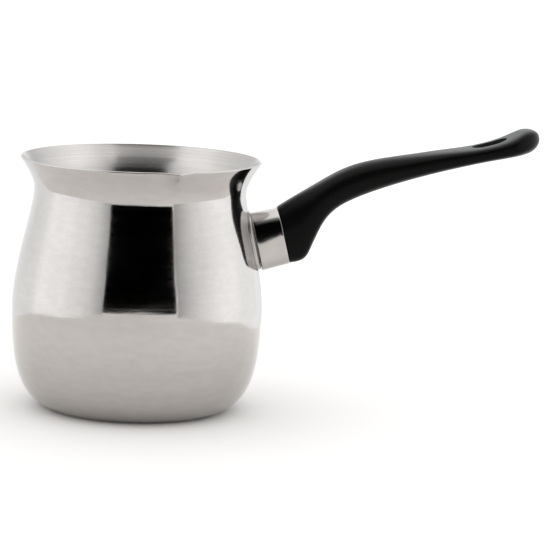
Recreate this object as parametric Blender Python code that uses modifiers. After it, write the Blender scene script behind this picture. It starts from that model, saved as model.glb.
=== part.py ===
"""Long-handled coffee pot (cezve): a spun steel pot with a screwed-on moulded handle.

Frame: the origin is the centre of the flat base, +Z is up and the handle reaches out along +X.
Units: metres. The handle's pieces are modelled in the handle frame, an empty on the pot wall whose
+X runs out along the screw and whose +Z is square to it, and they are parented to that empty.
"""

import math

import bmesh
import bpy
import numpy as np
from mathutils import Matrix, Vector

# ---------------------------------------------------------------------------- driving dimensions
MM = 0.001
FIT_GAP = 0.3 * MM  # clearance between pieces that touch

# Pot body: the outer face of the sheet, turned about Z.
SHEET = 0.9 * MM
BASE_FLAT_RADIUS = 31.5 * MM
BELLY_RADIUS = 52.1 * MM
BELLY_HEIGHT = 42.0 * MM
NECK_RADIUS = 44.0 * MM
NECK_HEIGHT = 91.5 * MM
MOUTH_RADIUS = 50.0 * MM
MOUTH_HEIGHT = 104.7 * MM
MOUTH_FLARE = math.radians(67.0)  # slope of the sheet at the mouth, above horizontal
BASE_PULL = 19.5 * MM  # the pulls are the curve handles' lengths at the profile's corner points
BELLY_PULL_DOWN = 17.5 * MM
BELLY_PULL_UP = 18.0 * MM
NECK_PULL_DOWN = 9.0 * MM
NECK_PULL_UP = 5.0 * MM
MOUTH_PULL = 2.5 * MM
POT_STEPS = 90
SADDLE_STEPS = 120

# Pouring lip: a small V pressed outwards into the flare, clockwise of the handle seen from above.
LIP_ANGLE = math.radians(-75.5)
LIP_HALF_ANGLE = math.radians(7.5)
LIP_REACH = 1.7 * MM
LIP_DROP = 0.6 * MM
LIP_START_HEIGHT = 94.0 * MM

# Handle frame on the pot wall.
HANDLE_HEIGHT = 70.9 * MM
HANDLE_RISE = math.radians(14.0)

# Bracket: a saddle plate that hugs the wall, with a hollow boss that enters the ferrule.
SADDLE_SHEET = 0.9 * MM
SADDLE_TOP = 13.6 * MM
SADDLE_BOTTOM = -11.1 * MM
SADDLE_HALF_WIDTH = 13.2 * MM
SADDLE_SQUARENESS = (3.2, 3.8)
SADDLE_REACH = 12.0 * MM  # how far each way the tool that trims the saddle's outline runs
SEAT = 0.4 * MM  # where the saddle is faced off for the ferrule's end
BOSS_SHEET = 1.2 * MM
BOSS_END = 7.0 * MM
BOSS_HALF_HEIGHT = 9.0 * MM
BOSS_HALF_WIDTH = 6.2 * MM

# Ferrule: a drawn sleeve that narrows slightly towards the grip.
FERRULE_SHEET = 0.7 * MM
FERRULE_START = SEAT + FIT_GAP
FERRULE_END = 12.5 * MM
FERRULE_HALF_HEIGHT = (12.3 * MM, 11.9 * MM)
FERRULE_HALF_WIDTH = (9.3 * MM, 9.0 * MM)
UPPER_SQUARENESS = 2.3  # superellipse exponents of the ferrule, rounder above than below
LOWER_SQUARENESS = 3.6
FERRULE_MIDDLE = (-2.9 * MM, 0.3 * MM)  # height of the widest point, at the pot's end and the grip's

# Grip.
TENON_GAP = 0.6 * MM
TENON_START = BOSS_END + FIT_GAP
SHOULDER = FERRULE_END + FIT_GAP
TIP = 126.3 * MM
PADDLE_START = 112.4 * MM  # where the plan view starts to round off
TIP_ROUND_START = 119.1 * MM  # where the side view starts to round off
GRIP_TOP = (  # distance along the handle, height above the screw axis, in mm
    (12.8, 12.2), (20.0, 14.7), (30.0, 17.8), (40.0, 20.8), (47.2, 22.1), (55.4, 22.4), (70.6, 21.3),
    (86.0, 19.8), (98.2, 18.6), (106.3, 18.5), (114.5, 19.5), (119.6, 20.8), (125.8, 22.1),
)
GRIP_BOTTOM = (
    (12.8, -11.6), (16.0, -11.8), (18.7, -11.3), (20.9, -9.7), (23.4, -6.4), (26.6, -2.2), (29.7, 1.5),
    (33.5, 4.7), (38.2, 7.0), (44.4, 8.6), (55.6, 10.2), (72.9, 11.5), (91.2, 12.0), (106.5, 11.8),
    (116.8, 11.4), (126.0, 11.9),
)
GRIP_HALF_WIDTH = (
    (12.8, 9.2), (25.0, 9.0), (40.0, 9.0), (55.4, 9.3), (76.0, 10.0), (93.2, 10.9), (105.4, 12.2),
    (112.4, 12.9), (126.0, 13.2),
)
GRIP_UPPER_SQUARENESS = ((12.8, 2.3), (40.0, 2.5), (76.0, 3.0), (93.0, 4.2), (113.0, 4.6), (126.0, 3.2))
GRIP_LOWER_SQUARENESS = ((12.8, 3.6), (40.0, 2.7), (76.0, 2.6), (106.0, 2.8), (126.0, 2.4))
GRIP_SECTION_POINTS = 32
GRIP_SECTION_PITCH = 3.2 * MM

# Hanging slot through the paddle.
SLOT_CENTRE = 105.3 * MM
SLOT_HALF_LENGTH = 6.6 * MM
SLOT_HALF_WIDTH = 4.1 * MM
SLOT_LIP_ROUND = 1.0 * MM

# Screw stack, from the pot outwards.
SCREW_RADIUS = 2.5 * MM
HOLE_RADIUS = SCREW_RADIUS + FIT_GAP
SCREW_START = 1.3 * MM
NUT_THICKNESS = 4.0 * MM
NUT_ACROSS_FLATS = 8.0 * MM
COUNTERBORE_RADIUS = 5.5 * MM
COUNTERBORE_FLOOR = 16.5 * MM
WASHER_RADIUS = 5.0 * MM
WASHER_THICKNESS = 1.0 * MM
SPRING_WASHER_RADIUS = 4.6 * MM
SPRING_WASHER_THICKNESS = 1.3 * MM
SPRING_WASHER_SPLIT = 0.8 * MM
HEAD_RADIUS = 4.6 * MM
HEAD_HEIGHT = 3.4 * MM
HEAD_CROWN = 1.2 * MM
POINT_CHAMFER = 0.8 * MM
RECESS_SPAN = 5.0 * MM
RECESS_WIDTH = 1.1 * MM
RECESS_DEPTH = 1.9 * MM

STEEL_COLOUR = (0.72, 0.70, 0.68, 1.0)
PLAIN_STEEL_COLOUR = (0.55, 0.54, 0.52, 1.0)
PHENOLIC_COLOUR = (0.010, 0.010, 0.010, 1.0)


# ------------------------------------------------------------------------------- scene and tools
def clear_scene():
    for obj in list(bpy.data.objects):
        bpy.data.objects.remove(obj, do_unlink=True)


def new_collection(name):
    collection = bpy.data.collections.new(name)
    bpy.context.scene.collection.children.link(collection)
    return collection


def new_material(name, colour, metallic, roughness):
    material = bpy.data.materials.new(name)
    material.use_nodes = True
    shader = material.node_tree.nodes["Principled BSDF"]
    shader.inputs["Base Color"].default_value = colour
    shader.inputs["Metallic"].default_value = metallic
    shader.inputs["Roughness"].default_value = roughness
    material.diffuse_color = colour
    return material


def object_from_bmesh(bm, name, collection, material=None):
    """Links a mesh object made from bm, and frees bm."""
    mesh = bpy.data.meshes.new(name)
    bm.to_mesh(mesh)
    bm.free()
    obj = bpy.data.objects.new(name, mesh)
    collection.objects.link(obj)
    if material is not None:
        mesh.materials.append(material)
    return obj


def as_cutter(obj):
    obj.hide_render = True
    obj.display_type = "WIRE"
    return obj


def apply_modifiers(obj):
    """Replaces the object's mesh by its evaluated one, so that it can be edited further."""
    depsgraph = bpy.context.evaluated_depsgraph_get()
    mesh = bpy.data.meshes.new_from_object(obj.evaluated_get(depsgraph))
    obj.modifiers.clear()
    obj.data = mesh


def boolean(obj, cutter, operation="DIFFERENCE"):
    modifier = obj.modifiers.new(cutter.name, "BOOLEAN")
    modifier.operation = operation
    modifier.solver = "EXACT"
    modifier.object = cutter


def smooth(obj, degrees=35.0):
    obj.data.shade_smooth()
    obj.data.set_sharp_from_angle(angle=math.radians(degrees))


def along_handle(bm):
    """Turns a shape made about Z so that it runs along the handle frame's X."""
    bmesh.ops.rotate(bm, verts=bm.verts, matrix=Matrix.Rotation(math.radians(90.0), 3, "Y"))


def cylinder(radius, start, end, segments=32):
    """A closed cylinder on the handle's screw axis, from start to end."""
    bm = bmesh.new()
    bmesh.ops.create_cone(
        bm, cap_ends=True, segments=segments, radius1=radius, radius2=radius, depth=end - start
    )
    along_handle(bm)
    bmesh.ops.translate(bm, verts=bm.verts, vec=((start + end) / 2.0, 0.0, 0.0))
    return bm


def loft(rings, capped=True):
    """Joins rings of equal point count into one tube of quads, with an n-gon at each end."""
    bm = bmesh.new()
    loops = [[bm.verts.new(point) for point in ring] for ring in rings]
    count = len(loops[0])
    for low, high in zip(loops, loops[1:]):
        for i in range(count):
            j = (i + 1) % count
            bm.faces.new((low[i], low[j], high[j], high[i]))
    if capped:
        bm.faces.new(loops[0])
        bm.faces.new(loops[-1])
    bmesh.ops.recalc_face_normals(bm, faces=bm.faces)
    return bm


def oval(
    distance, top, bottom, half_width, squareness=(UPPER_SQUARENESS, LOWER_SQUARENESS), count=40, middle=None
):
    """A superellipse square to the handle, with its own exponent above and below its widest height."""
    if middle is None:
        middle = (top + bottom) / 2.0
    ring = []
    for i in range(count):
        angle = 2.0 * math.pi * i / count
        reach, exponent = (top - middle, squareness[0]) if i < count / 2 else (middle - bottom, squareness[1])
        across = math.copysign(abs(math.cos(angle)) ** (2.0 / exponent), math.cos(angle))
        up = math.copysign(abs(math.sin(angle)) ** (2.0 / exponent), math.sin(angle))
        ring.append((distance, half_width * across, middle + reach * up))
    return ring


def spline(stations, unit=MM):
    """A natural cubic spline through (distance in mm, value in unit) stations."""
    x = np.array([station[0] for station in stations]) * MM
    y = np.array([station[1] for station in stations]) * unit
    step = np.diff(x)
    slope = np.diff(y) / step
    system = np.eye(len(x))
    right = np.zeros(len(x))
    for i in range(1, len(x) - 1):
        system[i, i - 1 : i + 2] = step[i - 1], 2.0 * (step[i - 1] + step[i]), step[i]
        right[i] = 6.0 * (slope[i] - slope[i - 1])
    bend = np.linalg.solve(system, right)

    def value(at):
        i = int(np.clip(np.searchsorted(x, at) - 1, 0, len(step) - 1))
        before = at - x[i]
        after = x[i + 1] - at
        curve = (bend[i] * after**3 + bend[i + 1] * before**3) / (6.0 * step[i])
        left = (y[i] / step[i] - bend[i] * step[i] / 6.0) * after
        right_part = (y[i + 1] / step[i] - bend[i + 1] * step[i] / 6.0) * before
        return float(curve + left + right_part)

    return value


# --------------------------------------------------------------------------------------- the pot
def cubic(start, start_handle, end_handle, end, count):
    """Points along a cubic Bezier curve, without its last point."""
    points = []
    for i in range(count):
        t = i / count
        weights = ((1 - t) ** 3, 3 * (1 - t) ** 2 * t, 3 * (1 - t) * t * t, t**3)
        corners = (start, start_handle, end_handle, end)
        points.append(tuple(sum(w * c[k] for w, c in zip(weights, corners)) for k in (0, 1)))
    return points


def pot_profile(counts=(9, 7, 6)):
    """The outer face as (radius, height), from the edge of the flat base up to the mouth."""
    base = (BASE_FLAT_RADIUS, 0.0)
    belly = (BELLY_RADIUS, BELLY_HEIGHT)
    neck = (NECK_RADIUS, NECK_HEIGHT)
    mouth = (MOUTH_RADIUS, MOUTH_HEIGHT)
    out_of_base = (BASE_FLAT_RADIUS + BASE_PULL, 0.0)
    under_belly = (BELLY_RADIUS, BELLY_HEIGHT - BELLY_PULL_DOWN)
    over_belly = (BELLY_RADIUS, BELLY_HEIGHT + BELLY_PULL_UP)
    under_neck = (NECK_RADIUS, NECK_HEIGHT - NECK_PULL_DOWN)
    over_neck = (NECK_RADIUS, NECK_HEIGHT + NECK_PULL_UP)
    under_mouth = (
        MOUTH_RADIUS - MOUTH_PULL * math.cos(MOUTH_FLARE),
        MOUTH_HEIGHT - MOUTH_PULL * math.sin(MOUTH_FLARE),
    )
    points = cubic(base, out_of_base, under_belly, belly, counts[0])
    points += cubic(belly, over_belly, under_neck, neck, counts[1])
    points += cubic(neck, over_neck, under_mouth, mouth, counts[2])
    points.append(mouth)
    return points


def wall_radius(height):
    """The outer radius of the pot at this height."""
    points = pot_profile((24, 24, 12))
    return float(np.interp(height, [p[1] for p in points], [p[0] for p in points]))


def weld_and_turn_out(obj):
    """Joins the doubled end points of a closed turned loop and points its faces outwards."""
    bm = bmesh.new()
    bm.from_mesh(obj.data)
    bmesh.ops.remove_doubles(bm, verts=bm.verts, dist=0.00001)
    bmesh.ops.recalc_face_normals(bm, faces=bm.faces)
    bm.to_mesh(obj.data)
    bm.free()


def turned(profile, name, collection, steps, material=None):
    """A profile of (radius, height), listed top to bottom, turned about Z."""
    bm = bmesh.new()
    vertices = [bm.verts.new((radius, 0.0, height)) for radius, height in profile]
    for upper, lower in zip(vertices, vertices[1:]):
        bm.edges.new((upper, lower))
    obj = object_from_bmesh(bm, name, collection, material)
    screw = obj.modifiers.new("turn", "SCREW")
    screw.axis = "Z"
    screw.steps = steps
    screw.render_steps = steps
    screw.use_merge_vertices = True
    screw.merge_threshold = 0.00001
    return obj


def press_lip(obj):
    """Pushes the flare outwards and a little down at the pouring lip, in a V with a round foot."""
    for vertex in obj.data.vertices:
        angle = math.atan2(vertex.co.y, vertex.co.x) - LIP_ANGLE
        angle = (angle + math.pi) % (2.0 * math.pi) - math.pi
        across = max(0.0, 1.0 - abs(angle) / LIP_HALF_ANGLE) ** 1.25
        rise = (vertex.co.z - LIP_START_HEIGHT) / (MOUTH_HEIGHT - LIP_START_HEIGHT)
        up = max(0.0, rise) ** 1.6
        push = across * up
        outwards = Vector((vertex.co.x, vertex.co.y, 0.0)).normalized()
        vertex.co += outwards * LIP_REACH * push
        vertex.co.z -= LIP_DROP * push


def make_pot_body(parts, material):
    profile = [*reversed(pot_profile()), (BASE_FLAT_RADIUS * 0.5, 0.0), (0.0, 0.0)]
    pot = turned(profile, "pot_body", parts, POT_STEPS, material)
    apply_modifiers(pot)
    # A column of vertices on the lip's crease.
    column = 2.0 * math.pi / POT_STEPS
    pot.data.transform(Matrix.Rotation(LIP_ANGLE - round(LIP_ANGLE / column) * column, 4, "Z"))
    press_lip(pot)
    shell = pot.modifiers.new("sheet", "SOLIDIFY")
    shell.thickness = SHEET
    shell.offset = -1.0
    shell.use_even_offset = True
    smooth(pot)


def grown_profile(distance, lowest=0.0, highest=MOUTH_HEIGHT):
    """The outer face moved outwards by this distance, between two heights."""
    heights = [height for _, height in pot_profile((14, 20, 8)) if lowest < height < highest]
    return [(wall_radius(height) + distance, height) for height in (lowest, *heights, highest)]


def wall_cutter(cutters):
    """The pot's outside plus the fitting gap, as a closed solid."""
    grown = grown_profile(FIT_GAP)
    profile = [(0.0, grown[-1][1]), *reversed(grown), (0.0, grown[0][1])]
    return as_cutter(turned(profile, "wall_cutter", cutters, SADDLE_STEPS))


# ------------------------------------------------------------------------------------ the handle
def handle_frame(parts):
    frame = bpy.data.objects.new("handle_frame", None)
    frame.location = (wall_radius(HANDLE_HEIGHT), 0.0, HANDLE_HEIGHT)
    frame.rotation_euler = (0.0, -HANDLE_RISE, 0.0)
    frame.empty_display_size = 0.02
    parts.objects.link(frame)
    return frame


def make_bracket(parts, cutters, frame, material):
    """Stamped steel: a ring that follows the wall, trimmed to the saddle, with the boss added."""
    low = HANDLE_HEIGHT - 25.0 * MM
    high = HANDLE_HEIGHT + 25.0 * MM
    inner = grown_profile(FIT_GAP, low, high)
    outer = grown_profile(FIT_GAP + SADDLE_SHEET, low, high)
    loop = [*reversed(outer), *inner, outer[-1]]
    bracket = turned(loop, "handle_bracket", parts, SADDLE_STEPS, material)
    apply_modifiers(bracket)
    weld_and_turn_out(bracket)

    def block(inset, start, end):
        height = BOSS_HALF_HEIGHT - inset
        width = BOSS_HALF_WIDTH - inset
        return loft([oval(distance, height, -height, width) for distance in (start, end)])

    trim = loft([
        oval(distance, SADDLE_TOP, SADDLE_BOTTOM, SADDLE_HALF_WIDTH, SADDLE_SQUARENESS, 56)
        for distance in (-SADDLE_REACH, SADDLE_REACH)
    ])
    seat = loft([
        oval(distance, 20.0 * MM, -20.0 * MM, 22.0 * MM) for distance in (SEAT, SADDLE_REACH)
    ])
    steps = (
        ("saddle_trim", trim, "INTERSECT"),
        ("ferrule_seat", seat, "DIFFERENCE"),
        ("bracket_boss", block(0.0, 0.0, BOSS_END), "UNION"),
        ("boss_hollow", block(BOSS_SHEET, -3.0 * MM, BOSS_END - BOSS_SHEET), "DIFFERENCE"),
        ("bracket_hole", cylinder(HOLE_RADIUS, 0.0, BOSS_END + 1.0 * MM), "DIFFERENCE"),
    )
    for name, shape, operation in steps:
        tool = as_cutter(object_from_bmesh(shape, name, cutters))
        tool.parent = frame
        boolean(bracket, tool, operation)
    boolean(bracket, wall_cutter(cutters))
    smooth(bracket)


def make_nut(parts, frame, material):
    """Hexagonal nut behind the boss's face; its bore clears the screw's thread."""
    end = BOSS_END - BOSS_SHEET - FIT_GAP
    corner_radius = NUT_ACROSS_FLATS / 2.0 / math.cos(math.pi / 6.0)
    nut = make_ring(
        "bracket_nut", parts, frame, material, corner_radius, end - NUT_THICKNESS, end, outer_segments=6
    )
    smooth(nut)


def make_ring(name, parts, frame, material, outer_radius, start, end, outer_segments=36):
    """A flat ring on the screw axis with the screw's clearance hole."""
    ring = object_from_bmesh(cylinder(outer_radius, start, end, outer_segments), name, parts, material)
    bore = cylinder(HOLE_RADIUS, start - 1.0 * MM, end + 1.0 * MM)
    cutter = as_cutter(object_from_bmesh(bore, name + "_bore", parts.children["cutters"]))
    ring.parent = frame
    cutter.parent = frame
    boolean(ring, cutter)
    return ring


def make_ferrule(parts, frame, material):
    rings = [
        oval(distance, half_height, -half_height, half_width, count=48, middle=middle)
        for distance, half_height, half_width, middle in zip(
            (FERRULE_START, FERRULE_END), FERRULE_HALF_HEIGHT, FERRULE_HALF_WIDTH, FERRULE_MIDDLE
        )
    ]
    ferrule = object_from_bmesh(loft(rings, capped=False), "ferrule", parts, material)
    ferrule.parent = frame
    shell = ferrule.modifiers.new("sheet", "SOLIDIFY")
    shell.thickness = FERRULE_SHEET
    shell.offset = -1.0
    shell.use_even_offset = True
    smooth(ferrule)


def grip_ring(distance, top, bottom, half_width, squareness):
    """One section of the grip, rounded off in plan and in side view near the tip."""
    upper = top(distance)
    lower = bottom(distance)
    width = half_width(distance)
    if distance > PADDLE_START:
        width *= math.sqrt(1.0 - ((distance - PADDLE_START) / (TIP - PADDLE_START)) ** 2)
    if distance > TIP_ROUND_START:
        shrink = math.sqrt(1.0 - ((distance - TIP_ROUND_START) / (TIP - TIP_ROUND_START)) ** 2)
        middle = (upper + lower) / 2.0
        upper = middle + (upper - middle) * shrink
        lower = middle + (lower - middle) * shrink
    return oval(distance, upper, lower, width, squareness(distance), GRIP_SECTION_POINTS)


def grip_distances():
    """Section places: even along the arm, then closing in on the tip."""
    count = round((TIP_ROUND_START - SHOULDER) / GRIP_SECTION_PITCH)
    places = [SHOULDER + (TIP_ROUND_START - SHOULDER) * i / count for i in range(count)]
    for degrees in (0, 18, 34, 48, 61, 73, 83):
        places.append(TIP_ROUND_START + (TIP - TIP_ROUND_START) * math.sin(math.radians(degrees)))
    return places


def slot_cutter(top, bottom):
    """A stadium-shaped prism that flares where it leaves the paddle, which rounds the slot's lips."""
    upper = top(SLOT_CENTRE)
    lower = bottom(SLOT_CENTRE)
    beyond = 4.0 * MM
    levels = [(lower - beyond, 1.0), (lower, 1.0)]
    for degrees in (60, 30, 0):
        swing = math.radians(degrees)
        levels.append((lower + SLOT_LIP_ROUND * math.cos(swing), 1.0 - math.cos(math.radians(degrees))))
    levels += [(upper + lower - height, grow) for height, grow in reversed(levels)]
    rings = []
    straight = SLOT_HALF_LENGTH - SLOT_HALF_WIDTH
    for height, grow in levels:
        radius = SLOT_HALF_WIDTH + SLOT_LIP_ROUND * grow
        ring = []
        for i in range(28):
            angle = 2.0 * math.pi * (i + 0.5) / 28
            shift = math.copysign(straight, math.cos(angle))
            ring.append((SLOT_CENTRE + shift + radius * math.cos(angle), radius * math.sin(angle), height))
        rings.append(ring)
    return loft(rings)


def make_grip(parts, cutters, frame, material):
    top = spline(GRIP_TOP)
    bottom = spline(GRIP_BOTTOM)
    half_width = spline(GRIP_HALF_WIDTH)
    upper_squareness = spline(GRIP_UPPER_SQUARENESS, unit=1.0)
    lower_squareness = spline(GRIP_LOWER_SQUARENESS, unit=1.0)

    def squareness(distance):
        return upper_squareness(distance), lower_squareness(distance)

    inset = FERRULE_SHEET + TENON_GAP
    tenon_height = FERRULE_HALF_HEIGHT[1] - inset
    tenon_width = FERRULE_HALF_WIDTH[1] - inset
    rings = [
        oval(distance, tenon_height, -tenon_height, tenon_width, count=GRIP_SECTION_POINTS)
        for distance in (TENON_START, SHOULDER)
    ]
    rings += [grip_ring(s, top, bottom, half_width, squareness) for s in grip_distances()]
    grip = object_from_bmesh(loft(rings), "handle_grip", parts, material)
    channel = cylinder(HOLE_RADIUS, TENON_START - 1.0 * MM, COUNTERBORE_FLOOR + 1.0 * MM)
    counterbore = cylinder(COUNTERBORE_RADIUS, COUNTERBORE_FLOOR, COUNTERBORE_FLOOR + 20.0 * MM)
    pieces = (
        object_from_bmesh(channel, "screw_channel", cutters),
        object_from_bmesh(counterbore, "counterbore", cutters),
        object_from_bmesh(slot_cutter(top, bottom), "hanging_slot", cutters),
    )
    grip.parent = frame
    for piece in pieces:
        piece.parent = frame
        boolean(grip, as_cutter(piece))
    smooth(grip)


def make_washers(parts, cutters, frame, material):
    """Flat washer on the counterbore's floor, then the split spring washer."""
    start = COUNTERBORE_FLOOR + FIT_GAP
    flat = make_ring("flat_washer", parts, frame, material, WASHER_RADIUS, start, start + WASHER_THICKNESS)
    smooth(flat)
    start += WASHER_THICKNESS + FIT_GAP
    end = start + SPRING_WASHER_THICKNESS
    spring = make_ring("spring_washer", parts, frame, material, SPRING_WASHER_RADIUS, start, end)
    bm = bmesh.new()
    bmesh.ops.create_cube(bm, size=1.0)
    bmesh.ops.scale(bm, verts=bm.verts, vec=(3.0 * MM, SPRING_WASHER_SPLIT, 4.0 * MM))
    bmesh.ops.rotate(bm, verts=bm.verts, matrix=Matrix.Rotation(math.radians(30.0), 3, "Z"))
    place = ((start + end) / 2.0, 0.0, -(HOLE_RADIUS + SPRING_WASHER_RADIUS) / 2.0)
    bmesh.ops.translate(bm, verts=bm.verts, vec=place)
    split = as_cutter(object_from_bmesh(bm, "spring_washer_split", cutters))
    split.parent = frame
    boolean(spring, split)
    smooth(spring)


def make_screw(parts, cutters, frame, material):
    """Pan-head screw with a cross recess: a turned profile laid along the handle."""
    seat = COUNTERBORE_FLOOR + WASHER_THICKNESS + SPRING_WASHER_THICKNESS + 3.0 * FIT_GAP
    profile = [(0.0, seat + HEAD_HEIGHT)]
    for degrees in (25, 50, 70, 90):
        swing = math.radians(degrees)
        profile.append((
            HEAD_RADIUS * math.sin(swing) ** 0.8,
            seat + HEAD_HEIGHT - HEAD_CROWN * (1.0 - math.cos(swing)),
        ))
    profile += [(HEAD_RADIUS, seat), (SCREW_RADIUS, seat)]
    profile += [(SCREW_RADIUS, SCREW_START + POINT_CHAMFER), (SCREW_RADIUS - POINT_CHAMFER, SCREW_START)]
    profile.append((0.0, SCREW_START))
    screw = turned(profile, "handle_screw", parts, 32, material)
    apply_modifiers(screw)
    screw.data.transform(Matrix.Rotation(math.radians(90.0), 4, "Y"))
    screw.parent = frame
    for i in range(2):
        bm = bmesh.new()
        bmesh.ops.create_cube(bm, size=1.0)
        bmesh.ops.scale(bm, verts=bm.verts, vec=(2.0 * RECESS_DEPTH, RECESS_SPAN, RECESS_WIDTH))
        turn = Matrix.Rotation(math.radians(45.0 + 90.0 * i), 3, "X")
        bmesh.ops.rotate(bm, verts=bm.verts, matrix=turn)
        bmesh.ops.translate(bm, verts=bm.verts, vec=(seat + HEAD_HEIGHT, 0.0, 0.0))
        recess = as_cutter(object_from_bmesh(bm, f"recess_{i + 1}", cutters))
        recess.parent = frame
        boolean(screw, recess)
    smooth(screw)


def main():
    clear_scene()
    parts = new_collection("coffee_pot_cezve")
    cutters = bpy.data.collections.new("cutters")
    parts.children.link(cutters)
    frame = handle_frame(parts)
    make_pot_body(parts, new_material("polished_steel", STEEL_COLOUR, 1.0, 0.18))
    make_bracket(parts, cutters, frame, new_material("bracket_steel", STEEL_COLOUR, 1.0, 0.3))
    make_nut(parts, frame, new_material("nut_steel", PLAIN_STEEL_COLOUR, 1.0, 0.4))
    make_ferrule(parts, frame, new_material("ferrule_steel", STEEL_COLOUR, 1.0, 0.15))
    make_grip(parts, cutters, frame, new_material("black_phenolic", PHENOLIC_COLOUR, 0.0, 0.35))
    make_washers(parts, cutters, frame, new_material("washer_steel", PLAIN_STEEL_COLOUR, 1.0, 0.4))
    make_screw(parts, cutters, frame, new_material("screw_steel", PLAIN_STEEL_COLOUR, 1.0, 0.35))


main()
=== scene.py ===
"""The looks of the coffee pot (cezve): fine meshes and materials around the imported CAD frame.

Metres, +Z up, the origin at the centre of the pot's flat base, the handle along +X. The handle's
pieces are made in the handle frame: X runs out along the screw, Z is square to it.
"""

import math

import bmesh
import bpy
import numpy as np
from mathutils import Matrix, Vector


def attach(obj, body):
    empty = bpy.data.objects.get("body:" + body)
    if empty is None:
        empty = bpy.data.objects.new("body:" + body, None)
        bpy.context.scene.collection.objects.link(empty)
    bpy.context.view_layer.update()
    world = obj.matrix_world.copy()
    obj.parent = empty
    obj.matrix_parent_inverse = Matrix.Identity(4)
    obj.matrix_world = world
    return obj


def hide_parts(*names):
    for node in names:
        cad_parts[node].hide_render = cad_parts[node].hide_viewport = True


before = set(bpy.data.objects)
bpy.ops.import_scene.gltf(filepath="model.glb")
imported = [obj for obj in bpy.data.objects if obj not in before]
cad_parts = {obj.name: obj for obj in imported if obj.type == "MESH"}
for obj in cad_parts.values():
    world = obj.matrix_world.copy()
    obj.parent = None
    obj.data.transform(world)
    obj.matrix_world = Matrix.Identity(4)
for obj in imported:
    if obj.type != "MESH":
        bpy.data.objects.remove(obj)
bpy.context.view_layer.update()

MM = 0.001

# ------------------------------------------------------------------- sizes, the same as in the CAD
SHEET = 0.9 * MM
BASE_FLAT_RADIUS = 31.5 * MM
BELLY_RADIUS = 52.1 * MM
BELLY_HEIGHT = 42.0 * MM
NECK_RADIUS = 44.0 * MM
NECK_HEIGHT = 91.5 * MM
MOUTH_RADIUS = 50.0 * MM
MOUTH_HEIGHT = 104.7 * MM
MOUTH_FLARE = math.radians(67.0)
BASE_PULL = 19.5 * MM
BELLY_PULL_DOWN = 17.5 * MM
BELLY_PULL_UP = 18.0 * MM
NECK_PULL_DOWN = 9.0 * MM
NECK_PULL_UP = 5.0 * MM
MOUTH_PULL = 2.5 * MM
LIP_ANGLE = math.radians(-75.5)
LIP_HALF_ANGLE = math.radians(7.5)
LIP_REACH = 1.7 * MM
LIP_DROP = 0.6 * MM
LIP_START_HEIGHT = 94.0 * MM
LIP_ACROSS_POWER = 1.25  # how sharp the lip's V is
LIP_RISE_POWER = 1.6  # how late it opens on the way up

HANDLE_HEIGHT = 70.9 * MM
HANDLE_RISE = math.radians(14.0)
FIT_GAP = 0.3 * MM

SADDLE_SHEET = 0.9 * MM
SADDLE_TOP = 13.6 * MM
SADDLE_BOTTOM = -11.1 * MM
SADDLE_HALF_WIDTH = 13.2 * MM
SADDLE_SQUARENESS = (3.2, 3.8)
SADDLE_LIFT = 0.04 * MM  # the welded plate sits tight on the wall
SADDLE_EDGE_ROUND = 0.35 * MM
SEAT = 0.4 * MM
SEAT_CUT_DEPTH = 12.0 * MM
SEAT_CUT_HALF_SIZE = (20.0 * MM, 22.0 * MM)  # half height and half width, well past the plate
BOSS_SHEET = 1.2 * MM
BOSS_END = 7.0 * MM
BOSS_HALF_HEIGHT = 9.0 * MM
BOSS_HALF_WIDTH = 6.2 * MM
BOSS_EDGE_ROUND = 1.0 * MM

FERRULE_SHEET = 0.7 * MM
FERRULE_START = SEAT + FIT_GAP
FERRULE_END = 12.5 * MM
FERRULE_HALF_HEIGHT = (12.3 * MM, 11.9 * MM)
FERRULE_HALF_WIDTH = (9.3 * MM, 9.0 * MM)
FERRULE_SQUARENESS = (2.3, 3.6)
FERRULE_MIDDLE = (-2.9 * MM, 0.3 * MM)  # height of the widest point, at the pot's end and the grip's

TENON_GAP = 0.6 * MM
TENON_START = BOSS_END + FIT_GAP
SHOULDER = FERRULE_END + FIT_GAP
TIP = 126.3 * MM
PADDLE_START = 112.4 * MM
TIP_ROUND_START = 119.1 * MM
GRIP_TOP = (  # distance along the handle, height above the screw axis, in mm
    (12.8, 12.2), (20.0, 14.7), (30.0, 17.8), (40.0, 20.8), (47.2, 22.1), (55.4, 22.4), (70.6, 21.3),
    (86.0, 19.8), (98.2, 18.6), (106.3, 18.5), (114.5, 19.5), (119.6, 20.8), (125.8, 22.1),
)
GRIP_BOTTOM = (
    (12.8, -11.6), (16.0, -11.8), (18.7, -11.3), (20.9, -9.7), (23.4, -6.4), (26.6, -2.2), (29.7, 1.5),
    (33.5, 4.7), (38.2, 7.0), (44.4, 8.6), (55.6, 10.2), (72.9, 11.5), (91.2, 12.0), (106.5, 11.8),
    (116.8, 11.4), (126.0, 11.9),
)
GRIP_HALF_WIDTH = (
    (12.8, 9.2), (25.0, 9.0), (40.0, 9.0), (55.4, 9.3), (76.0, 10.0), (93.2, 10.9), (105.4, 12.2),
    (112.4, 12.9), (126.0, 13.2),
)
GRIP_UPPER_SQUARENESS = ((12.8, 2.3), (40.0, 2.5), (76.0, 3.0), (93.0, 4.2), (113.0, 4.6), (126.0, 3.2))
GRIP_LOWER_SQUARENESS = ((12.8, 3.6), (40.0, 2.7), (76.0, 2.6), (106.0, 2.8), (126.0, 2.4))
SLOT_CENTRE = 105.3 * MM
SLOT_HALF_LENGTH = 6.6 * MM
SLOT_HALF_WIDTH = 4.1 * MM
SLOT_LIP_ROUND = 1.0 * MM
HOLE_RADIUS = 2.8 * MM
COUNTERBORE_RADIUS = 5.5 * MM
COUNTERBORE_FLOOR = 16.5 * MM
CUT_PAST = 1.0 * MM  # how far a cutter runs past the face it opens

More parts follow.
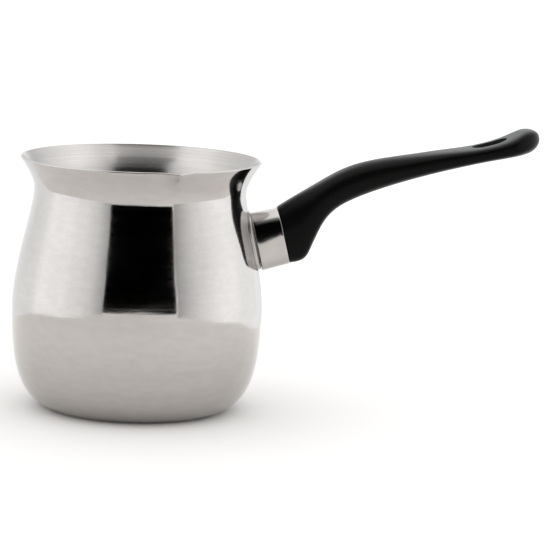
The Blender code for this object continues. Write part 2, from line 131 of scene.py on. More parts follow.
# --------------------------------------------------------------------------- fineness of the looks
POT_COLUMNS = 320
POT_PROFILE_COUNTS = (46, 30, 26)
GRIP_SECTION_POINTS = 112
GRIP_SECTION_PITCH = 0.8 * MM
SADDLE_RINGS = 22
SADDLE_OUTLINE_POINTS = 144
FERRULE_SECTION_POINTS = 160
SLEEVE_STEPS = 12
BOSS_SECTION_POINTS = 96
SLOT_SECTION_POINTS = 96
EDGE_STEPS = 6  # points round the edge of a sheet


# ------------------------------------------------------------------------------- node materials
class Nodes:
    """A short way to write a node tree: each call makes a node and links the sockets it is given."""

    def __init__(self, tree):
        self.tree = tree

    def add(self, kind, settings=None, **inputs):
        node = self.tree.nodes.new(kind)
        for key, value in (settings or {}).items():
            setattr(node, key, value)
        for key, value in inputs.items():
            self.put(node, key.replace("_", " "), value)
        return node

    def put(self, node, key, value):
        socket = node.inputs[int(key)] if key.isdigit() else node.inputs[key]
        if isinstance(value, bpy.types.NodeSocket):
            self.tree.links.new(value, socket)
        else:
            socket.default_value = value

    def math(self, operation, a, b=0.0, c=0.0):
        node = self.tree.nodes.new("ShaderNodeMath")
        node.operation = operation
        for i, value in enumerate((a, b, c)):
            self.put(node, str(i), value)
        return node.outputs[0]

    def scaled(self, vector, scale):
        node = self.tree.nodes.new("ShaderNodeVectorMath")
        node.operation = "MULTIPLY"
        self.put(node, "0", vector)
        self.put(node, "1", scale)
        return node.outputs[0]

    def noise(self, vector, scale, detail=2.0, roughness=0.5):
        return self.add(
            "ShaderNodeTexNoise", None, Vector=vector, Scale=scale, Detail=detail, Roughness=roughness
        ).outputs["Fac"]

    def range(self, value, low, high, to_low, to_high):
        node = self.tree.nodes.new("ShaderNodeMapRange")
        for key, number in zip(("From Min", "From Max", "To Min", "To Max"), (low, high, to_low, to_high)):
            node.inputs[key].default_value = number
        self.put(node, "Value", value)
        return node.outputs[0]

    def mix(self, factor, a, b):
        node = self.tree.nodes.new("ShaderNodeMix")
        node.data_type = "RGBA"
        self.put(node, "0", factor)
        self.put(node, "6", a)
        self.put(node, "7", b)
        return node.outputs[2]

    def bump(self, height, distance, strength=1.0, normal=None):
        node = self.add("ShaderNodeBump", None, Height=height, Distance=distance, Strength=strength)
        if normal is not None:
            self.put(node, "Normal", normal)
        return node.outputs["Normal"]


def new_material(name, **values):
    """A Principled material and its tree; the values go straight onto the shader's sockets."""
    material = bpy.data.materials.new(name)
    material.use_nodes = True
    shader = material.node_tree.nodes["Principled BSDF"]
    for key, value in values.items():
        shader.inputs[key.replace("_", " ")].default_value = value
    return material, Nodes(material.node_tree), shader


def around_axis(nodes, along_scale, around_scale=9.0):
    """A vector that changes fast along the turned wall and slowly around it, for turning marks."""
    place = nodes.add("ShaderNodeTexCoord").outputs["Object"]
    split = nodes.add("ShaderNodeSeparateXYZ", None, Vector=place)
    flat = nodes.add("ShaderNodeCombineXYZ", None, X=split.outputs["X"], Y=split.outputs["Y"])
    length = nodes.tree.nodes.new("ShaderNodeVectorMath")
    length.operation = "LENGTH"
    nodes.put(length, "0", flat.outputs[0])
    travel = nodes.math("ADD", split.outputs["Z"], length.outputs["Value"])
    around_x = nodes.math("MULTIPLY", split.outputs["X"], around_scale)
    around_y = nodes.math("MULTIPLY", split.outputs["Y"], around_scale)
    along = nodes.math("MULTIPLY", travel, along_scale)
    return place, nodes.add("ShaderNodeCombineXYZ", None, X=around_x, Y=around_y, Z=along).outputs[0]


def polished_steel():
    """The spun and polished outside: a soft mirror with faint turning marks and a slight waviness."""
    material, nodes, shader = new_material("steel_polished", Metallic=1.0)
    place, streaks = around_axis(nodes, 1500.0)
    fine = nodes.noise(streaks, 1.0, 3.0, 0.6)
    broad = nodes.noise(nodes.scaled(streaks, (1.0, 1.0, 0.12)), 1.0, 2.0)
    waves = nodes.noise(nodes.scaled(place, (1.0, 1.0, 1.6)), 34.0, 1.0)
    smudge = nodes.noise(place, 55.0, 3.0)
    mottle = nodes.noise(nodes.scaled(place, (1.0, 1.0, 2.5)), 160.0, 4.0, 0.65)
    mottle_tone = nodes.range(mottle, 0.35, 0.65, 0.0, 0.7)
    tone = nodes.math("ADD", mottle_tone, nodes.range(broad, 0.35, 0.65, 0.0, 0.3))
    tint = nodes.mix(tone, (0.442, 0.421, 0.403, 1.0), (0.480, 0.460, 0.443, 1.0))
    nodes.put(shader, "Base Color", tint)
    turned = nodes.range(fine, 0.3, 0.7, 0.05, 0.10)
    rough = nodes.math("ADD", turned, nodes.range(smudge, 0.35, 0.7, 0.0, 0.03))
    nodes.put(shader, "Roughness", rough)
    surface = nodes.bump(waves, 0.00035)
    surface = nodes.bump(mottle, 0.000018, normal=surface)
    surface = nodes.bump(broad, 0.000003, normal=surface)
    surface = nodes.bump(fine, 0.000004, normal=surface)
    nodes.put(shader, "Normal", surface)
    return material


def satin_steel():
    """The brushed inside of the pot: grooves run round it, so highlights smear up and down."""
    material, nodes, shader = new_material(
        "steel_satin", Metallic=1.0, Anisotropic=0.7, Anisotropic_Rotation=0.25
    )
    _, streaks = around_axis(nodes, 2600.0, 5.0)
    fine = nodes.noise(streaks, 1.0, 4.0, 0.7)
    broad = nodes.noise(nodes.scaled(streaks, (1.0, 1.0, 0.1)), 1.0, 2.0)
    groove = nodes.range(fine, 0.3, 0.7, 0.0, 1.0)
    tint = nodes.mix(groove, (0.41, 0.39, 0.375, 1.0), (0.51, 0.49, 0.475, 1.0))
    nodes.put(shader, "Base Color", tint)
    nodes.put(shader, "Roughness", nodes.range(broad, 0.3, 0.7, 0.20, 0.30))
    surface = nodes.bump(fine, 0.00001)
    nodes.put(shader, "Normal", surface)
    tangent = nodes.add("ShaderNodeTangent", {"direction_type": "RADIAL", "axis": "Z"})
    nodes.put(shader, "Tangent", tangent.outputs[0])
    return material


def drawn_steel(name, low, high):
    """Drawn or stamped sheet with fine lines along the handle; low and high bound its roughness."""
    dark = (0.45, 0.43, 0.415, 1.0)
    light = (0.48, 0.46, 0.445, 1.0)
    material, nodes, shader = new_material(name, Metallic=1.0)
    place = nodes.add("ShaderNodeTexCoord").outputs["Object"]
    lines = nodes.noise(nodes.scaled(place, (0.02, 1.0, 1.0)), 2200.0, 3.0, 0.6)
    cloud = nodes.noise(place, 180.0, 3.0)
    nodes.put(shader, "Base Color", nodes.mix(nodes.range(cloud, 0.3, 0.7, 0.0, 1.0), dark, light))
    nodes.put(shader, "Roughness", nodes.range(lines, 0.3, 0.7, low, high))
    surface = nodes.bump(cloud, 0.000003)
    nodes.put(shader, "Normal", nodes.bump(lines, 0.000003, normal=surface))
    return material


def plated_steel():
    """Bright zinc plate on the fasteners: slightly mottled."""
    material, nodes, shader = new_material("steel_plated", Metallic=1.0)
    place = nodes.add("ShaderNodeTexCoord").outputs["Object"]
    mottle = nodes.noise(place, 900.0, 4.0, 0.6)
    nodes.put(shader, "Base Color", nodes.mix(mottle, (0.46, 0.46, 0.45, 1.0), (0.62, 0.61, 0.59, 1.0)))
    nodes.put(shader, "Roughness", nodes.range(mottle, 0.3, 0.7, 0.28, 0.45))
    nodes.put(shader, "Normal", nodes.bump(mottle, 0.000015))
    return material


def black_phenolic():
    """Moulded phenolic resin: near black, with a very fine moulded texture and faint clouding."""
    material, nodes, shader = new_material("phenolic_black", IOR=1.56, Specular_IOR_Level=0.06)
    place = nodes.add("ShaderNodeTexCoord").outputs["Object"]
    grain = nodes.noise(place, 2600.0, 3.0, 0.6)
    cloud = nodes.noise(place, 90.0, 3.0)
    tint = nodes.mix(cloud, (0.0012, 0.0011, 0.0010, 1.0), (0.0028, 0.0025, 0.0023, 1.0))
    nodes.put(shader, "Base Color", tint)
    clouded = nodes.range(cloud, 0.3, 0.7, 0.27, 0.33)
    rough = nodes.math("ADD", clouded, nodes.range(grain, 0.3, 0.7, -0.03, 0.03))
    nodes.put(shader, "Roughness", rough)
    nodes.put(shader, "Normal", nodes.bump(grain, 0.000012))
    return material


# --------------------------------------------------------------------------------- mesh helpers
def object_from_bmesh(bm, name, *materials):
    """Links a mesh object made from bm, and frees bm."""
    mesh = bpy.data.meshes.new(name)
    bm.to_mesh(mesh)
    bm.free()
    obj = bpy.data.objects.new(name, mesh)
    bpy.context.scene.collection.objects.link(obj)
    for material in materials:
        mesh.materials.append(material)
    return obj


def smooth(obj, degrees):
    """Smooth shading, with the edges sharper than this angle kept sharp."""
    obj.data.shade_smooth()
    obj.data.set_sharp_from_angle(angle=math.radians(degrees))


def loft(rings, capped=True, closed=False):
    """Joins rings of equal point count into a tube, capped at both ends or joined end to start."""
    bm = bmesh.new()
    loops = [[bm.verts.new(point) for point in ring] for ring in rings]
    pairs = list(zip(loops, loops[1:]))
    if closed:
        pairs.append((loops[-1], loops[0]))
    count = len(loops[0])
    for low, high in pairs:
        for i in range(count):
            j = (i + 1) % count
            bm.faces.new((low[i], low[j], high[j], high[i]))
    if capped and not closed:
        bm.faces.new(loops[0])
        bm.faces.new(loops[-1])
    bmesh.ops.recalc_face_normals(bm, faces=bm.faces)
    return bm


def signed_power(value, power):
    """The power of the size of value, with its sign kept."""
    return math.copysign(abs(value) ** power, value)


def oval(distance, top, bottom, half_width, squareness, count, middle=None):
    """A superellipse square to the handle, with its own exponent above and below its widest height."""
    if middle is None:
        middle = (top + bottom) / 2.0
    ring = []
    for i in range(count):
        angle = 2.0 * math.pi * i / count
        if i < count / 2:
            reach, exponent = top - middle, squareness[0]
        else:
            reach, exponent = middle - bottom, squareness[1]
        power = 2.0 / exponent
        across = half_width * signed_power(math.cos(angle), power)
        up = reach * signed_power(math.sin(angle), power)
        ring.append((distance, across, middle + up))
    return ring


def spline(stations, unit=MM):
    """A natural cubic spline through (distance in mm, value in unit) stations."""
    x = np.array([station[0] for station in stations]) * MM
    y = np.array([station[1] for station in stations]) * unit
    step = np.diff(x)
    slope = np.diff(y) / step
    system = np.eye(len(x))
    right = np.zeros(len(x))
    for i in range(1, len(x) - 1):
        system[i, i - 1 : i + 2] = step[i - 1], 2.0 * (step[i - 1] + step[i]), step[i]
        right[i] = 6.0 * (slope[i] - slope[i - 1])
    bend = np.linalg.solve(system, right)

    def value(at):
        i = int(np.clip(np.searchsorted(x, at) - 1, 0, len(step) - 1))
        before = at - x[i]
        after = x[i + 1] - at
        curve = (bend[i] * after**3 + bend[i + 1] * before**3) / (6.0 * step[i])
        left = (y[i] / step[i] - bend[i] * step[i] / 6.0) * after
        right_part = (y[i + 1] / step[i] - bend[i + 1] * step[i] / 6.0) * before
        return float(curve + left + right_part)

    return value


def boolean(obj, cutter, operation="DIFFERENCE"):
    """Applies an exact boolean and removes the cutter."""
    modifier = obj.modifiers.new("cut", "BOOLEAN")
    modifier.operation = operation
    modifier.solver = "EXACT"
    modifier.object = cutter
    depsgraph = bpy.context.evaluated_depsgraph_get()
    mesh = bpy.data.meshes.new_from_object(obj.evaluated_get(depsgraph))
    obj.modifiers.clear()
    obj.data = mesh
    bpy.data.objects.remove(cutter)


# --------------------------------------------------------------------------------------- the pot
def cubic(start, start_handle, end_handle, end, count):
    """Points along a cubic Bezier curve, without its last point."""
    points = []
    for i in range(count):
        t = i / count
        weights = ((1 - t) ** 3, 3 * (1 - t) ** 2 * t, 3 * (1 - t) * t * t, t**3)
        corners = (start, start_handle, end_handle, end)
        points.append(tuple(sum(w * c[k] for w, c in zip(weights, corners)) for k in (0, 1)))
    return points


def pot_profile():
    """The outer face as (radius, height), from the edge of the flat base up to the mouth."""
    base = (BASE_FLAT_RADIUS, 0.0)
    belly = (BELLY_RADIUS, BELLY_HEIGHT)
    neck = (NECK_RADIUS, NECK_HEIGHT)
    mouth = (MOUTH_RADIUS, MOUTH_HEIGHT)
    out_of_base = (BASE_FLAT_RADIUS + BASE_PULL, 0.0)
    under_belly = (BELLY_RADIUS, BELLY_HEIGHT - BELLY_PULL_DOWN)
    over_belly = (BELLY_RADIUS, BELLY_HEIGHT + BELLY_PULL_UP)
    under_neck = (NECK_RADIUS, NECK_HEIGHT - NECK_PULL_DOWN)
    over_neck = (NECK_RADIUS, NECK_HEIGHT + NECK_PULL_UP)
    under_mouth = (
        MOUTH_RADIUS - MOUTH_PULL * math.cos(MOUTH_FLARE),
        MOUTH_HEIGHT - MOUTH_PULL * math.sin(MOUTH_FLARE),
    )
    base_count, wall_count, flare_count = POT_PROFILE_COUNTS
    points = cubic(base, out_of_base, under_belly, belly, base_count)
    points += cubic(belly, over_belly, under_neck, neck, wall_count)
    points += cubic(neck, over_neck, under_mouth, mouth, flare_count)
    points.append(mouth)
    return points


POT_PROFILE = np.array(pot_profile())


def wall_radius(height):
    """The outer radius of the pot at this height."""
    return float(np.interp(height, POT_PROFILE[:, 1], POT_PROFILE[:, 0]))


def pressed(radius, height, angle):
    """Where a point of the turned wall goes when the pouring lip is pressed."""
    turn = (angle - LIP_ANGLE + math.pi) % (2.0 * math.pi) - math.pi
    across = max(0.0, 1.0 - abs(turn) / LIP_HALF_ANGLE) ** LIP_ACROSS_POWER
    rise = (height - LIP_START_HEIGHT) / (MOUTH_HEIGHT - LIP_START_HEIGHT)
    push = across * min(1.0, max(0.0, rise)) ** LIP_RISE_POWER
    radius += LIP_REACH * push
    return radius * math.cos(angle), radius * math.sin(angle), height - LIP_DROP * push


def make_pot(outside, inside):
    """The whole shell as one closed loop of rings: under the base, up, over the rim and down inside."""
    outer = POT_PROFILE.copy()
    along = np.gradient(outer, axis=0)
    along /= np.linalg.norm(along, axis=1)[:, None]
    inwards = np.stack([-along[:, 1], along[:, 0]], axis=1)
    half = SHEET / 2.0
    rim = outer[-1] + inwards[-1] * half
    rim_points = [
        rim - inwards[-1] * half * math.cos(swing) + along[-1] * half * math.sin(swing)
        for swing in np.linspace(0.0, math.pi, EDGE_STEPS + 1)[1:-1]
    ]
    # The round edge is cut from the sheet's own end, so the rim keeps its height.
    outer[-1] -= along[-1] * half
    rim_points = [point - along[-1] * half for point in rim_points]
    inner = (outer + inwards * SHEET)[::-1]
    flat = [(BASE_FLAT_RADIUS * share, 0.0) for share in (0.06, 0.2, 0.4, 0.6, 0.8)]
    floor = [(radius, SHEET) for radius, _ in reversed(flat)]
    profile = flat + [tuple(point) for point in (*outer, *rim_points, *inner)] + floor
    inside_from = len(flat) + len(outer) + len(rim_points) - 1
    angles = [LIP_ANGLE + 2.0 * math.pi * i / POT_COLUMNS for i in range(POT_COLUMNS)]
    rings = [[pressed(radius, height, angle) for angle in angles] for radius, height in profile]
    bm = loft(rings, capped=False)
    bm.faces.ensure_lookup_table()
    for face in bm.faces:
        face.material_index = int(face.index // POT_COLUMNS >= inside_from)
    for first, height, material_index in ((0, 0.0, 0), (len(rings) - 1, SHEET, 1)):
        bm.verts.ensure_lookup_table()
        loop = [bm.verts[first * POT_COLUMNS + i] for i in range(POT_COLUMNS)]
        pole = bm.verts.new((0.0, 0.0, height))
        for vertex, following in zip(loop, loop[1:] + loop[:1]):
            bm.faces.new((vertex, following, pole)).material_index = material_index
    bmesh.ops.recalc_face_normals(bm, faces=bm.faces)
    pot = object_from_bmesh(bm, "pot_shell", outside, inside)
    smooth(pot, 60.0)
    return pot


# ------------------------------------------------------------------------------------ the handle
HANDLE_PLACE = Matrix.Translation((wall_radius(HANDLE_HEIGHT), 0.0, HANDLE_HEIGHT))
HANDLE_TO_ROW = HANDLE_PLACE @ Matrix.Rotation(-HANDLE_RISE, 4, "Y")
ROW_TO_HANDLE = HANDLE_TO_ROW.inverted()


def rounded_sheet(outline, start, end, thickness):
    """Rings round the cross-section of a sleeve: outside, round edge, inside, round edge."""
    half = thickness / 2.0
    stations = []
    for k in range(SLEEVE_STEPS + 1):
        stations.append((start + half + (end - start - thickness) * k / SLEEVE_STEPS, 0.0))
    for swing in np.linspace(0.0, math.pi, EDGE_STEPS + 1)[1:-1]:
        stations.append((end - half + half * math.sin(swing), half - half * math.cos(swing)))
    for k in range(SLEEVE_STEPS + 1):
        stations.append((end - half - (end - start - thickness) * k / SLEEVE_STEPS, thickness))
    for swing in np.linspace(0.0, math.pi, EDGE_STEPS + 1)[1:-1]:
        stations.append((start + half - half * math.sin(swing), half + half * math.cos(swing)))
    return [outline(distance, inset) for distance, inset in stations]


def ferrule_section(distance, inset):
    """One section of the ferrule, which narrows a little from the pot to the grip."""
    share = (distance - FERRULE_START) / (FERRULE_END - FERRULE_START)
    height = FERRULE_HALF_HEIGHT[0] + share * (FERRULE_HALF_HEIGHT[1] - FERRULE_HALF_HEIGHT[0]) - inset
    width = FERRULE_HALF_WIDTH[0] + share * (FERRULE_HALF_WIDTH[1] - FERRULE_HALF_WIDTH[0]) - inset
    middle = FERRULE_MIDDLE[0] + share * (FERRULE_MIDDLE[1] - FERRULE_MIDDLE[0])
    return oval(distance, height, -height, width, FERRULE_SQUARENESS, FERRULE_SECTION_POINTS, middle)


def make_ferrule(material):
    """The polished sleeve between the bracket and the grip."""
    bm = loft(rounded_sheet(ferrule_section, FERRULE_START, FERRULE_END, FERRULE_SHEET), closed=True)
    ferrule = object_from_bmesh(bm, "ferrule_sleeve", material)
    ferrule.data.transform(HANDLE_TO_ROW)
    smooth(ferrule, 50.0)
    return ferrule


def on_wall(y, z, lift):
    """The handle-frame point over (y, z) that stands this far off the pot's wall."""
    out = HANDLE_TO_ROW.to_3x3() @ Vector((1.0, 0.0, 0.0))
    point = HANDLE_TO_ROW @ Vector((0.0, y, z))
    low, high = -20.0 * MM, 20.0 * MM
    for _ in range(26):
        middle = (low + high) / 2.0
        trial = point + out * middle
        if math.hypot(trial.x, trial.y) < wall_radius(trial.z) + lift:
            low = middle
        else:
            high = middle
    return tuple(ROW_TO_HANDLE @ (point + out * low))


def make_bracket(material):
    """The saddle plate, which follows the wall closely and has a round outer edge, and its boss."""
    outline = oval(
        0.0, SADDLE_TOP, SADDLE_BOTTOM, SADDLE_HALF_WIDTH, SADDLE_SQUARENESS, SADDLE_OUTLINE_POINTS
    )
    middle = (SADDLE_TOP + SADDLE_BOTTOM) / 2.0
    edge_inset = SADDLE_EDGE_ROUND / SADDLE_HALF_WIDTH
    outer = FIT_GAP + SADDLE_SHEET
    levels = []
    for k in range(1, SADDLE_RINGS + 1):
        levels.append(((1.0 - edge_inset) * k / SADDLE_RINGS, outer))
    for swing in np.linspace(0.0, math.pi / 2.0, EDGE_STEPS + 1)[1:]:
        share = 1.0 - edge_inset * (1.0 - math.sin(swing))
        levels.append((share, outer - SADDLE_EDGE_ROUND * (1.0 - math.cos(swing))))
    for k in range(SADDLE_RINGS, 0, -1):
        levels.append((k / SADDLE_RINGS, SADDLE_LIFT))
    rings = [
        [on_wall(y * share, middle + (z - middle) * share, lift) for _, y, z in outline]
        for share, lift in levels
    ]
    bracket = object_from_bmesh(loft(rings), "saddle_bracket", material)
    seat_height, seat_width = SEAT_CUT_HALF_SIZE
    seat = loft([
        oval(distance, seat_height, -seat_height, seat_width, FERRULE_SQUARENESS, 64)
        for distance in (SEAT, SEAT_CUT_DEPTH)
    ])
    boolean(bracket, object_from_bmesh(seat, "seat"))
    boss = object_from_bmesh(boss_block(0.0, 0.0, BOSS_END), "boss")
    boolean(bracket, boss, "UNION")
    boolean(bracket, object_from_bmesh(boss_block(BOSS_SHEET, -5.0 * MM, BOSS_END - BOSS_SHEET), "hollow"))
    boolean(bracket, object_from_bmesh(rod(HOLE_RADIUS, 0.0, BOSS_END + CUT_PAST, 64), "hole"))
    bracket.data.transform(HANDLE_TO_ROW)
    smooth(bracket, 40.0)
    return bracket


def boss_block(inset, start, end):
    """The boss or its hollow, with the outer end's edge rounded."""
    height = BOSS_HALF_HEIGHT - inset
    width = BOSS_HALF_WIDTH - inset
    edge = BOSS_EDGE_ROUND
    stations = [(start, 0.0)]
    for degrees in (0, 22, 45, 67, 90):
        swing = math.radians(degrees)
        stations.append((end - edge + edge * math.sin(swing), edge * (1.0 - math.cos(swing))))
    return loft([
        oval(distance, height - cut, cut - height, width - cut, FERRULE_SQUARENESS, BOSS_SECTION_POINTS)
        for distance, cut in stations
    ])


def rod(radius, start, end, count):
    """A closed cylinder on the screw axis."""
    angles = [2.0 * math.pi * i / count for i in range(count)]
    return loft([[(x, radius * math.cos(a), radius * math.sin(a)) for a in angles] for x in (start, end)])


def grip_section(distance, top, bottom, half_width, squareness):
    """One section of the grip, rounded off in plan and in side view near the tip."""
    upper = top(distance)
    lower = bottom(distance)
    width = half_width(distance)
    if distance > PADDLE_START:
        width *= math.sqrt(1.0 - ((distance - PADDLE_START) / (TIP - PADDLE_START)) ** 2)
    if distance > TIP_ROUND_START:
        shrink = math.sqrt(1.0 - ((distance - TIP_ROUND_START) / (TIP - TIP_ROUND_START)) ** 2)
        middle = (upper + lower) / 2.0
        upper = middle + (upper - middle) * shrink
        lower = middle + (lower - middle) * shrink
    return oval(distance, upper, lower, width, squareness(distance), GRIP_SECTION_POINTS)


def grip_distances():
    """Section places: even along the arm, then closing in on the tip."""
    count = round((TIP_ROUND_START - SHOULDER) / GRIP_SECTION_PITCH)
    places = [SHOULDER + (TIP_ROUND_START - SHOULDER) * i / count for i in range(count)]
    for degrees in (0, 8, 16, 24, 32, 40, 48, 56, 64, 71, 77, 82, 86, 88.5):
        places.append(TIP_ROUND_START + (TIP - TIP_ROUND_START) * math.sin(math.radians(degrees)))
    return places


def slot_cutter(top, bottom):
    """A stadium-shaped prism that flares where it leaves the paddle, which rounds the slot's lips."""
    upper = top(SLOT_CENTRE)
    lower = bottom(SLOT_CENTRE)
    beyond = 4.0 * MM
    levels = [(lower - beyond, 1.0), (lower, 1.0)]
    for degrees in (80, 70, 60, 50, 40, 30, 20, 10, 0):
        swing = math.radians(degrees)
        levels.append((lower + SLOT_LIP_ROUND * math.cos(swing), 1.0 - math.cos(swing)))
    levels += [(upper + lower - height, grow) for height, grow in reversed(levels)]
    rings = []
    straight = SLOT_HALF_LENGTH - SLOT_HALF_WIDTH
    for height, grow in levels:
        radius = SLOT_HALF_WIDTH + SLOT_LIP_ROUND * grow
        ring = []
        for i in range(SLOT_SECTION_POINTS):
            angle = 2.0 * math.pi * (i + 0.5) / SLOT_SECTION_POINTS
            shift = math.copysign(straight, math.cos(angle))
            ring.append((SLOT_CENTRE + shift + radius * math.cos(angle), radius * math.sin(angle), height))
        rings.append(ring)
    return loft(rings)


def make_grip(material):
    """The moulded grip: tenon, heel with its counterbore, arm and paddle with the hanging slot."""
    top = spline(GRIP_TOP)
    bottom = spline(GRIP_BOTTOM)
    half_width = spline(GRIP_HALF_WIDTH)
    upper_squareness = spline(GRIP_UPPER_SQUARENESS, unit=1.0)
    lower_squareness = spline(GRIP_LOWER_SQUARENESS, unit=1.0)

    def squareness(distance):
        return upper_squareness(distance), lower_squareness(distance)

    inset = FERRULE_SHEET + TENON_GAP
    tenon_height = FERRULE_HALF_HEIGHT[1] - inset
    tenon_width = FERRULE_HALF_WIDTH[1] - inset
    rings = [
        oval(distance, tenon_height, -tenon_height, tenon_width, FERRULE_SQUARENESS, GRIP_SECTION_POINTS)
        for distance in (TENON_START, SHOULDER)
    ]
    rings += [grip_section(s, top, bottom, half_width, squareness) for s in grip_distances()]
    grip = object_from_bmesh(loft(rings), "grip_moulding", material)
    cutters = (
        rod(HOLE_RADIUS, TENON_START - CUT_PAST, COUNTERBORE_FLOOR + CUT_PAST, 48),
        rod(COUNTERBORE_RADIUS, COUNTERBORE_FLOOR, COUNTERBORE_FLOOR + 20.0 * MM, 72),
        slot_cutter(top, bottom),
    )
    for i, cutter in enumerate(cutters):
        boolean(grip, object_from_bmesh(cutter, f"cutter_{i}"))
    grip.data.transform(HANDLE_TO_ROW)
    smooth(grip, 38.0)
    return grip


# ---------------------------------------------------------------------------- camera and lighting
CAMERA_PLACE = (-0.06196, -1.18209, 0.24702)
CAMERA_TURN = tuple(math.radians(degrees) for degrees in (80.8995, -2.0628, -5.4337))
CAMERA_LENS = 188.05
STUDIO_TURN = math.radians(-7.0)  # the cards stand square to the view, the handle points a little away
FLOOR_HALF_SIZE = 9.0
FLOOR_COLOURS = ((0.75, 0.74, 0.73, 1.0), (0.765, 0.755, 0.745, 1.0))
# painted light: the floor's colour on the handle's side, paler as if lit more there
FLOOR_PAINTED_LIGHT_COLOUR = (0.84, 0.83, 0.82, 1.0)
FLOOR_PAINTED_LIGHT_FULL_AT = 0.35  # painted light: the floor is painted paler up to here on the handle's side, as if more light fell there
SKY_COLOUR = (1.0, 0.995, 0.99, 1.0)
SKY_STRENGTH = 1.48
COOL_WHITE = (0.975, 0.99, 1.0, 1.0)
CARD_SIDE = 0.3  # how far to the side the white cards stand
CARD_BEND = 0.06  # where a side card meets the card behind it
CARD_BACK = (0.04, 0.24)  # the inner end of a back card
CARD_TOP = 0.6
DARK_FRONT = -0.7
DARK_BOTTOM = 0.046
DARK_TOP = 1.7


def make_camera():
    """The one camera."""
    data = bpy.data.cameras.new("camera")
    data.lens = CAMERA_LENS
    data.sensor_width = 36.0
    data.clip_start = 0.05
    camera = bpy.data.objects.new("camera", data)
    camera.location = CAMERA_PLACE
    camera.rotation_euler = CAMERA_TURN
    bpy.context.scene.collection.objects.link(camera)
    bpy.context.scene.camera = camera


def make_world():
    """An even white surrounding."""
    world = bpy.data.worlds.new("studio")
    bpy.context.scene.world = world
    world.use_nodes = True
    background = world.node_tree.nodes["Background"]
    background.inputs["Color"].default_value = SKY_COLOUR
    background.inputs["Strength"].default_value = SKY_STRENGTH


def panel(name, corners, material):
    """A flat studio card with four corners, seen only in reflections."""
    bm = bmesh.new()
    bm.faces.new([bm.verts.new(corner) for corner in corners])
    card = object_from_bmesh(bm, name, material)
    card.rotation_euler = (0.0, 0.0, STUDIO_TURN)
    card.visible_camera = False
    card.visible_diffuse = False
    card.visible_shadow = False
    card.visible_transmission = False
    card.visible_volume_scatter = False


def card_material(name, axis, stops):
    """Emission that changes along an axis of the card; stops = (place in metres, strength), in order."""
    material = bpy.data.materials.new(name)
    material.use_nodes = True
    nodes = Nodes(material.node_tree)
    nodes.tree.nodes.clear()
    place = nodes.add("ShaderNodeTexCoord").outputs["Object"]
    split = nodes.add("ShaderNodeSeparateXYZ", None, Vector=place)
    strength = stops[0][1]
    for (start, before), (end, after) in zip(stops, stops[1:]):
        change = nodes.range(split.outputs[axis], start, end, 0.0, after - before)
        strength = nodes.math("ADD", strength, change)
    uneven = nodes.noise(place, 9.0, 3.0, 0.55)
    strength = nodes.math("MULTIPLY", strength, nodes.range(uneven, 0.3, 0.7, 0.95, 1.05))
    light = nodes.add("ShaderNodeEmission", None, Color=COOL_WHITE, Strength=strength)
    output = nodes.tree.nodes.new("ShaderNodeOutputMaterial")
    nodes.tree.links.new(light.outputs[0], output.inputs["Surface"])
    return material


def make_floor():
    """A wide sheet of pale paper, with painted light that makes it paler towards the handle's side."""
    material, nodes, shader = new_material("floor_paper", Roughness=0.9, Specular_IOR_Level=0.2)
    place = nodes.add("ShaderNodeTexCoord").outputs["Object"]
    fibre = nodes.noise(place, 60.0, 4.0)
    paper = nodes.mix(fibre, *FLOOR_COLOURS)
    split = nodes.add("ShaderNodeSeparateXYZ", None, Vector=place)
    # painted light: the paper is painted paler towards the handle's side
    painted_light_share = nodes.range(split.outputs["X"], 0.0, FLOOR_PAINTED_LIGHT_FULL_AT, 0.0, 1.0)
    nodes.put(shader, "Base Color", nodes.mix(painted_light_share, paper, FLOOR_PAINTED_LIGHT_COLOUR))
    size = FLOOR_HALF_SIZE
    bm = bmesh.new()
    corners = ((-size, -size), (size, -size), (size, size), (-size, size))
    bm.faces.new([bm.verts.new((x, y, 0.0)) for x, y in corners])
    object_from_bmesh(bm, "floor", material)


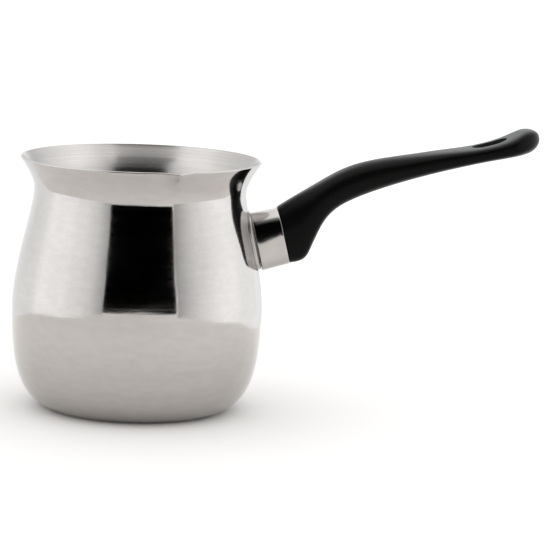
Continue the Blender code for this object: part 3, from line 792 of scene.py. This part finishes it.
def make_cards():
    """What the pot mirrors: a dark opening in front, white cards at its sides and behind it."""
    dark = card_material("card_dark", "Z", ((0.75, 0.0), (1.25, 0.42), (1.4, 0.95), (1.7, 1.1)))
    left = card_material("card_left", "Y", ((-0.58, 0.72), (-0.14, 1.72), (0.0, 1.70), (0.06, 1.50)))
    right = card_material("card_right", "Y", ((-0.37, 0.62), (-0.02, 1.80), (0.06, 1.78)))
    panel("card_dark", (
        (-0.34, DARK_FRONT, DARK_BOTTOM),
        (0.56, DARK_FRONT, DARK_BOTTOM),
        (0.6, DARK_FRONT, DARK_TOP),
        (-0.85, DARK_FRONT, DARK_TOP),
    ), dark)
    panel("card_left", (
        (-CARD_SIDE, CARD_BEND, 0.0),
        (-CARD_SIDE, -0.62, 0.03),
        (-CARD_SIDE, -0.575, CARD_TOP),
        (-CARD_SIDE, CARD_BEND, CARD_TOP),
    ), left)
    panel("card_right", (
        (CARD_SIDE, CARD_BEND, 0.0),
        (CARD_SIDE, -0.37, 0.03),
        (CARD_SIDE, -0.38, CARD_TOP),
        (CARD_SIDE, CARD_BEND, CARD_TOP),
    ), right)
    back_left = card_material("card_back_left", "X", ((-0.3, 1.50), (-0.08, 1.02)))
    back_right = card_material("card_back_right", "X", ((0.08, 0.95), (0.15, 1.45), (0.3, 1.76)))
    for name, side, material in (("card_back_left", -1.0, back_left), ("card_back_right", 1.0, back_right)):
        outer = (CARD_SIDE * side, CARD_BEND)
        inner = (CARD_BACK[0] * side, CARD_BACK[1])
        corners = ((*outer, 0.0), (*inner, 0.0), (*inner, CARD_TOP), (*outer, CARD_TOP))
        panel(name, corners, material)


# --------------------------------------------------------------------------------------- assembly
def main():
    """Builds the stage and the pieces, and hides the CAD nodes that each piece stands in for."""
    bpy.context.scene.view_settings.view_transform = "Standard"
    make_camera()
    make_world()
    make_floor()
    make_cards()

    fine_pieces = (
        (make_pot(polished_steel(), satin_steel()), "pot_body", "pot_steel"),
        (make_bracket(drawn_steel("steel_bracket", 0.34, 0.44)), "handle_bracket", "bracket_steel"),
        (make_ferrule(drawn_steel("steel_ferrule", 0.10, 0.16)), "ferrule", "ferrule_steel"),
        (make_grip(black_phenolic()), "handle_grip", "grip_phenolic"),
    )
    for piece, node, slot in fine_pieces:
        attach(piece, "root")
        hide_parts(node)

    plated = plated_steel()
    for name in ("bracket_nut", "handle_screw", "flat_washer", "spring_washer"):
        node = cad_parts[name]
        for material_slot in node.material_slots:
            material_slot.material = plated

    bpy.context.view_layer.update()


main()
